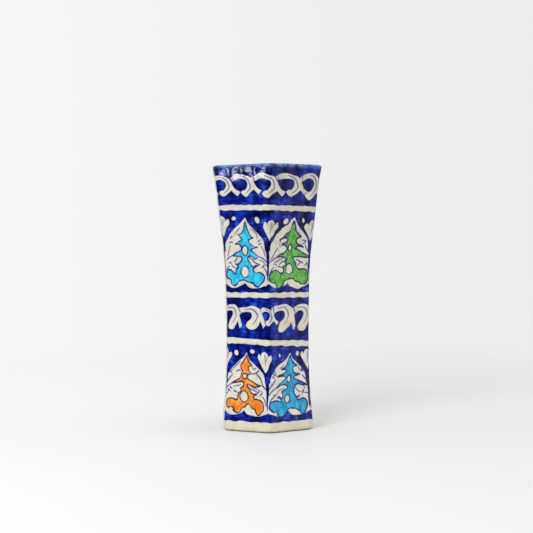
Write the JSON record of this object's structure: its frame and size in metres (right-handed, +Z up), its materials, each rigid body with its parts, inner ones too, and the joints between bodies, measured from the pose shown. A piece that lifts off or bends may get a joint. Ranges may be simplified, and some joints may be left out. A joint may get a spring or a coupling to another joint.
{
  "type": "hexagonal vase",
  "caption": "Tall hexagonal glazed pottery vase with a slim waist, a flared reeded mouth and hand-painted arches, tulips and scrolls.",
  "frame": {"origin": "middle of the foot, on the surface that the vase stands on", "axes": "+Z up along the vase's axis, one upright corner of the hexagon towards -Y, flat faces towards +X and -X"},
  "size_m": [0.1216, 0.1366, 0.3],
  "materials": {
    "painted_glaze": "gloss",
    "cream_glaze": "gloss"
  },
  "bodies": {
    "root": {"wall_panel_front_left": "painted_glaze", "wall_panel_front_right": "painted_glaze", "wall_panel_right": "painted_glaze", "wall_panel_back_right": "painted_glaze", "wall_panel_back_left": "painted_glaze", "wall_panel_left": "painted_glaze", "floor_slab": "cream_glaze"}
  },
  "joints": []
}
